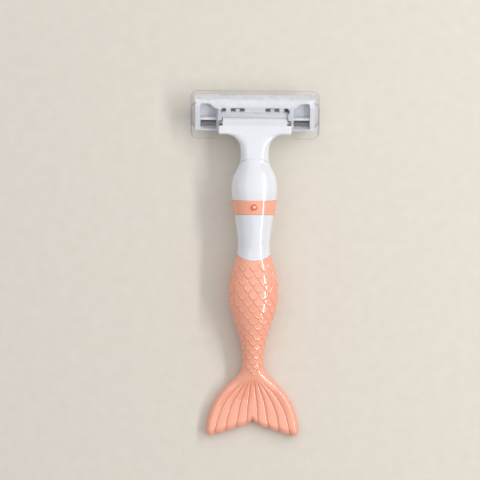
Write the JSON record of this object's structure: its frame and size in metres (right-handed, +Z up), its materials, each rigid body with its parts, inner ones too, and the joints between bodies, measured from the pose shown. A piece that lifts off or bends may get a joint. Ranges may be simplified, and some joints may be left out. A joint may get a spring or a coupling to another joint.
{
  "type": "body razor",
  "caption": "Body razor with a mermaid-tail handle, a pivoting cartridge that pulls off, and a clear blade cover that slides off.",
  "frame": {"origin": "middle of the razor's footprint on the table, cover on, blades down", "axes": "+X across the razor, +Y along the handle towards the head, +Z up, out of the handle's jewel side"},
  "size_m": [0.0454, 0.1222, 0.0187],
  "materials": {
    "white_plastic": "glossy white moulded plastic",
    "cartridge_white": "satin white moulded plastic",
    "coral_plastic": "glossy coral moulded plastic",
    "orange_enamel": "glossy orange",
    "pale_bead": "glossy pale pink",
    "steel": "fine ground steel",
    "guard_rubber": "soft grey",
    "spacer_plastic": "matt grey",
    "lubricant": "matt pale strip",
    "clear_plastic": "clear hard plastic"
  },
  "bodies": {
    "handle": {"t_head": "white_plastic", "torso_front": "white_plastic", "torso_back": "white_plastic", "belt_band": "coral_plastic", "gem_setting": "orange_enamel", "gem_bead": "pale_bead", "tail_front": "coral_plastic", "tail_back": "coral_plastic", "return_spring": "white_plastic"},
    "pin": {"pivot_pin": "steel"},
    "cartridge": {"cartridge_housing": "cartridge_white", "guard_fins": "guard_rubber", "seat_blade": "steel", "blade_spacer": "spacer_plastic", "cap_blade": "steel", "cartridge_cap": "cartridge_white", "lubricating_strip": "lubricant", "blade_rivet_1": "steel", "blade_rivet_2": "steel", "blade_rivet_3": "steel"},
    "cover": {"blade_cover": "clear_plastic"}
  },
  "joints": [
    {"name": "cartridge_pivot", "type": "hinge", "parent": "handle", "child": "pin", "pos_m": [0, 0.04943, 0.01001], "axis": [1, 0, 0], "range_deg": [0, 20], "stiffness_Nm_per_rad": 0.003, "springref_deg": -17.19, "deforming": ["return_spring"]},
    {"name": "cartridge_release", "type": "slide", "parent": "pin", "child": "cartridge", "axis": [0, 0.5, -0.866], "range_m": [0, 0.008]},
    {"name": "cover_slide", "type": "slide", "parent": "cartridge", "child": "cover", "axis": [0, 0.866, 0.5], "range_m": [0, 0.02]}
  ]
}
